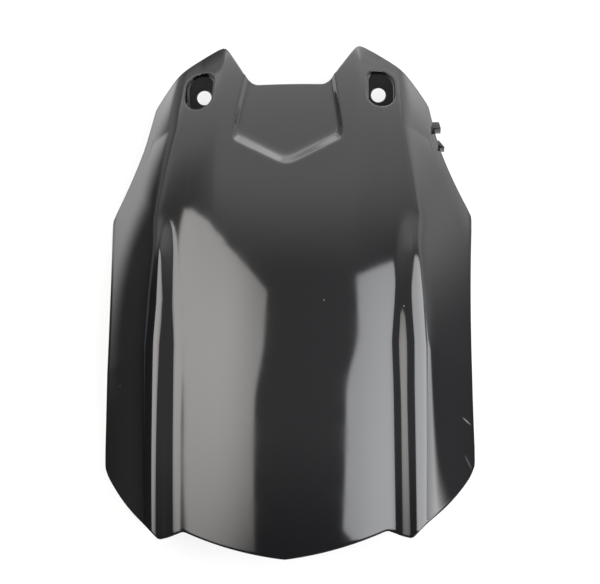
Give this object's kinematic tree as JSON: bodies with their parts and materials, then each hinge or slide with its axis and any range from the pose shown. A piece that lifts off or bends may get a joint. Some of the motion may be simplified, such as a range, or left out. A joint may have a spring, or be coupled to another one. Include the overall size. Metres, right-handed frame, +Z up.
{
  "type": "motorcycle rear fender",
  "caption": "Arched one-piece motorcycle rear fender with shoulder ridges, a pointed rear edge, a shield recess, screw pockets in its front ears and a hose clip on one side.",
  "frame": {"origin": "centre of the fender's outline on the floor that it lies on", "axes": "+Z up from the floor, +Y along the fender towards the ears that bolt to the swingarm, +X to its right side, where the hose clip is"},
  "size_m": [0.2236, 0.3371, 0.076],
  "materials": {
    "gloss_black_plastic": "moulded gloss"
  },
  "bodies": {
    "root": {"rear_fender": "gloss_black_plastic"}
  },
  "joints": []
}
